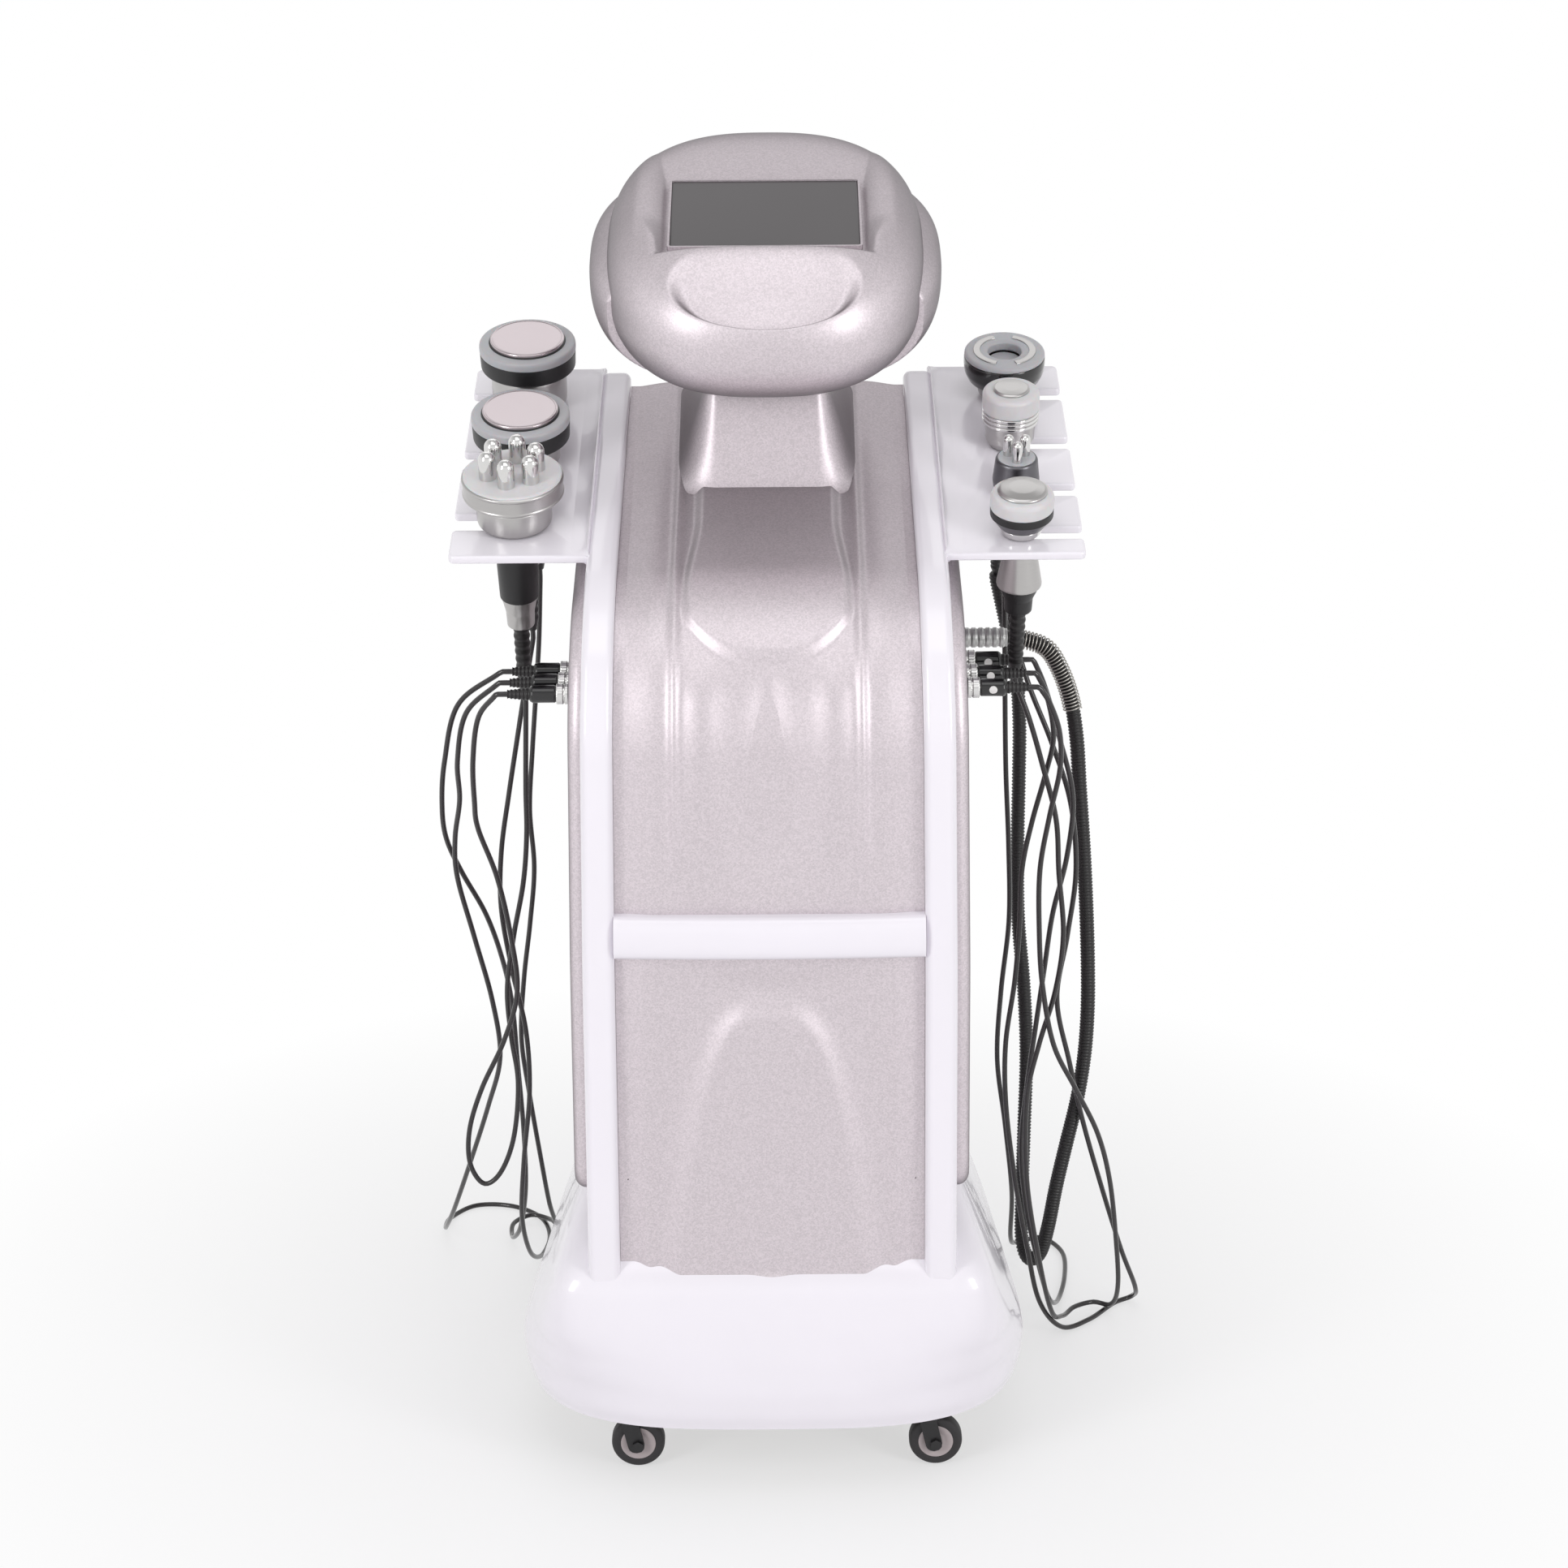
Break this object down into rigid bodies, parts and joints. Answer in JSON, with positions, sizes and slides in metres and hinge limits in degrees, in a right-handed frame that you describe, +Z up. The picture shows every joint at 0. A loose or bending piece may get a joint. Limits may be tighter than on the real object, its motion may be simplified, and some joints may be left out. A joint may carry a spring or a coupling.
{
  "type": "cavitation slimming machine",
  "caption": "Floor-standing cavitation slimming machine: arched silver and white body on casters, swivelling screen head, side trays of corded handpieces and a vacuum hose",
  "frame": {"origin": "centre of the footprint on the floor", "axes": "+Z up, the front with the screen faces -Y, +X is the viewer's right when facing the screen"},
  "size_m": [0.7277, 0.6, 1.1979],
  "materials": {
    "white_gloss_plastic": "glossy moulded ABS",
    "silver_metallic_paint": "moulded ABS with silver metallic spray paint and a clear coat",
    "zinc_plated_steel": "zinc plated",
    "bare_aluminium": "bare sheet",
    "black_plastic": "fine moulded texture",
    "satin_silver_coating": "satin, turned",
    "dark_glass": "polished",
    "circuit_board": "printed board",
    "red_rocker_plastic": "glossy moulded",
    "black_rubber": "smooth jacket",
    "black_tread_rubber": "matt moulded tread"
  },
  "bodies": {
    "machine": {"base_plate": "zinc_plated_steel", "base_shell": "white_gloss_plastic", "chassis_column": "zinc_plated_steel", "cord_left_front": "black_rubber", "cord_left_middle": "black_rubber", "cord_left_rear": "black_rubber", "cord_right_front": "black_rubber", "cord_right_middle": "black_rubber", "cord_right_rear": "black_rubber", "cross_bar": "white_gloss_plastic", "hose_fitting": "zinc_plated_steel", "hose_spring": "zinc_plated_steel", "lower_front_panel": "silver_metallic_paint", "mains_inlet": "black_plastic", "neck_pedestal": "silver_metallic_paint", "neck_ring": "black_plastic", "plug_left_front": "black_plastic", "plug_left_middle": "black_plastic", "plug_left_rear": "black_plastic", "plug_right_front": "black_plastic", "plug_right_middle": "black_plastic", "plug_right_rear": "black_plastic", "power_supply": "bare_aluminium", "rear_cover": "silver_metallic_paint", "side_band_left": "white_gloss_plastic", "side_band_right": "white_gloss_plastic", "side_panel_left": "silver_metallic_paint", "side_panel_right": "silver_metallic_paint", "socket_strip_left": "black_plastic", "socket_strip_right": "black_plastic", "tray_left": "white_gloss_plastic", "tray_right": "white_gloss_plastic", "upper_front_panel": "silver_metallic_paint", "vacuum_hose": "black_rubber", "vacuum_pump": "black_plastic"},
    "head": {"head_face_shell": "silver_metallic_paint", "head_rear_bowl": "silver_metallic_paint", "neck_spindle": "zinc_plated_steel", "screen_glass": "dark_glass", "display_module": "circuit_board"},
    "fan": {"fan_rotor": "black_plastic"},
    "switch": {"power_switch": "red_rocker_plastic"},
    "caster_front_left": {"caster_fork_front_left": "black_plastic"},
    "wheel_front_left": {"caster_wheel_front_left": "black_tread_rubber"},
    "caster_rear_left": {"caster_fork_rear_left": "black_plastic"},
    "wheel_rear_left": {"caster_wheel_rear_left": "black_tread_rubber"},
    "caster_front_right": {"caster_fork_front_right": "black_plastic"},
    "wheel_front_right": {"caster_wheel_front_right": "black_tread_rubber"},
    "caster_rear_right": {"caster_fork_rear_right": "black_plastic"},
    "wheel_rear_right": {"caster_wheel_rear_right": "black_tread_rubber"},
    "handpiece_left_rear": {"handpiece_left_rear": "black_plastic", "applicator_left_rear": "satin_silver_coating"},
    "handpiece_left_middle": {"handpiece_left_middle": "black_plastic", "applicator_left_middle": "satin_silver_coating"},
    "handpiece_left_front": {"handpiece_left_front": "black_plastic", "applicator_left_front": "satin_silver_coating"},
    "handpiece_right_rear": {"handpiece_right_rear": "satin_silver_coating"},
    "handpiece_right_third": {"handpiece_right_third": "satin_silver_coating"},
    "handpiece_right_second": {"handpiece_right_second": "black_plastic"},
    "handpiece_right_front": {"handpiece_right_front": "satin_silver_coating"}
  },
  "joints": [
    {"name": "head_swivel", "type": "hinge", "parent": "machine", "child": "head", "pos_m": [0, 0.06008, 1.09955], "axis": [0, -0.2756, 0.9613], "range_deg": [-75, 75]},
    {"name": "fan_spin", "type": "hinge", "parent": "machine", "child": "fan", "pos_m": [0, 0.2124, 0.64], "axis": [0, 1, 0], "continuous": true},
    {"name": "switch_rock", "type": "hinge", "parent": "machine", "child": "switch", "pos_m": [0.03, 0.211, 0.36], "axis": [1, 0, 0], "range_deg": [0, 12]},
    {"name": "swivel_front_left", "type": "hinge", "parent": "machine", "child": "caster_front_left", "pos_m": [-0.14, -0.175, 0], "axis": [0, 0, 1], "continuous": true},
    {"name": "roll_front_left", "type": "hinge", "parent": "caster_front_left", "child": "wheel_front_left", "pos_m": [-0.128, -0.175, 0.025], "axis": [0, 1, 0], "continuous": true},
    {"name": "swivel_rear_left", "type": "hinge", "parent": "machine", "child": "caster_rear_left", "pos_m": [-0.14, 0.175, 0], "axis": [0, 0, 1], "continuous": true},
    {"name": "roll_rear_left", "type": "hinge", "parent": "caster_rear_left", "child": "wheel_rear_left", "pos_m": [-0.128, 0.175, 0.025], "axis": [0, 1, 0], "continuous": true},
    {"name": "swivel_front_right", "type": "hinge", "parent": "machine", "child": "caster_front_right", "pos_m": [0.14, -0.175, 0], "axis": [0, 0, 1], "continuous": true},
    {"name": "roll_front_right", "type": "hinge", "parent": "caster_front_right", "child": "wheel_front_right", "pos_m": [0.152, -0.175, 0.025], "axis": [0, 1, 0], "continuous": true},
    {"name": "swivel_rear_right", "type": "hinge", "parent": "machine", "child": "caster_rear_right", "pos_m": [0.14, 0.175, 0], "axis": [0, 0, 1], "continuous": true},
    {"name": "roll_rear_right", "type": "hinge", "parent": "caster_rear_right", "child": "wheel_rear_right", "pos_m": [0.152, 0.175, 0.025], "axis": [0, 1, 0], "continuous": true},
    {"name": "lift_out_left_rear", "type": "slide", "parent": "machine", "child": "handpiece_left_rear", "axis": [-1, 0, 0], "range_m": [0, 0.12]},
    {"name": "lift_out_left_middle", "type": "slide", "parent": "machine", "child": "handpiece_left_middle", "axis": [-1, 0, 0], "range_m": [0, 0.12]},
    {"name": "lift_out_left_front", "type": "slide", "parent": "machine", "child": "handpiece_left_front", "axis": [-1, 0, 0], "range_m": [0, 0.12]},
    {"name": "lift_out_right_rear", "type": "slide", "parent": "machine", "child": "handpiece_right_rear", "axis": [1, 0, 0], "range_m": [0, 0.12]},
    {"name": "lift_out_right_third", "type": "slide", "parent": "machine", "child": "handpiece_right_third", "axis": [1, 0, 0], "range_m": [0, 0.12]},
    {"name": "lift_out_right_second", "type": "slide", "parent": "machine", "child": "handpiece_right_second", "axis": [1, 0, 0], "range_m": [0, 0.12]},
    {"name": "lift_out_right_front", "type": "slide", "parent": "machine", "child": "handpiece_right_front", "axis": [1, 0, 0], "range_m": [0, 0.12]}
  ]
}
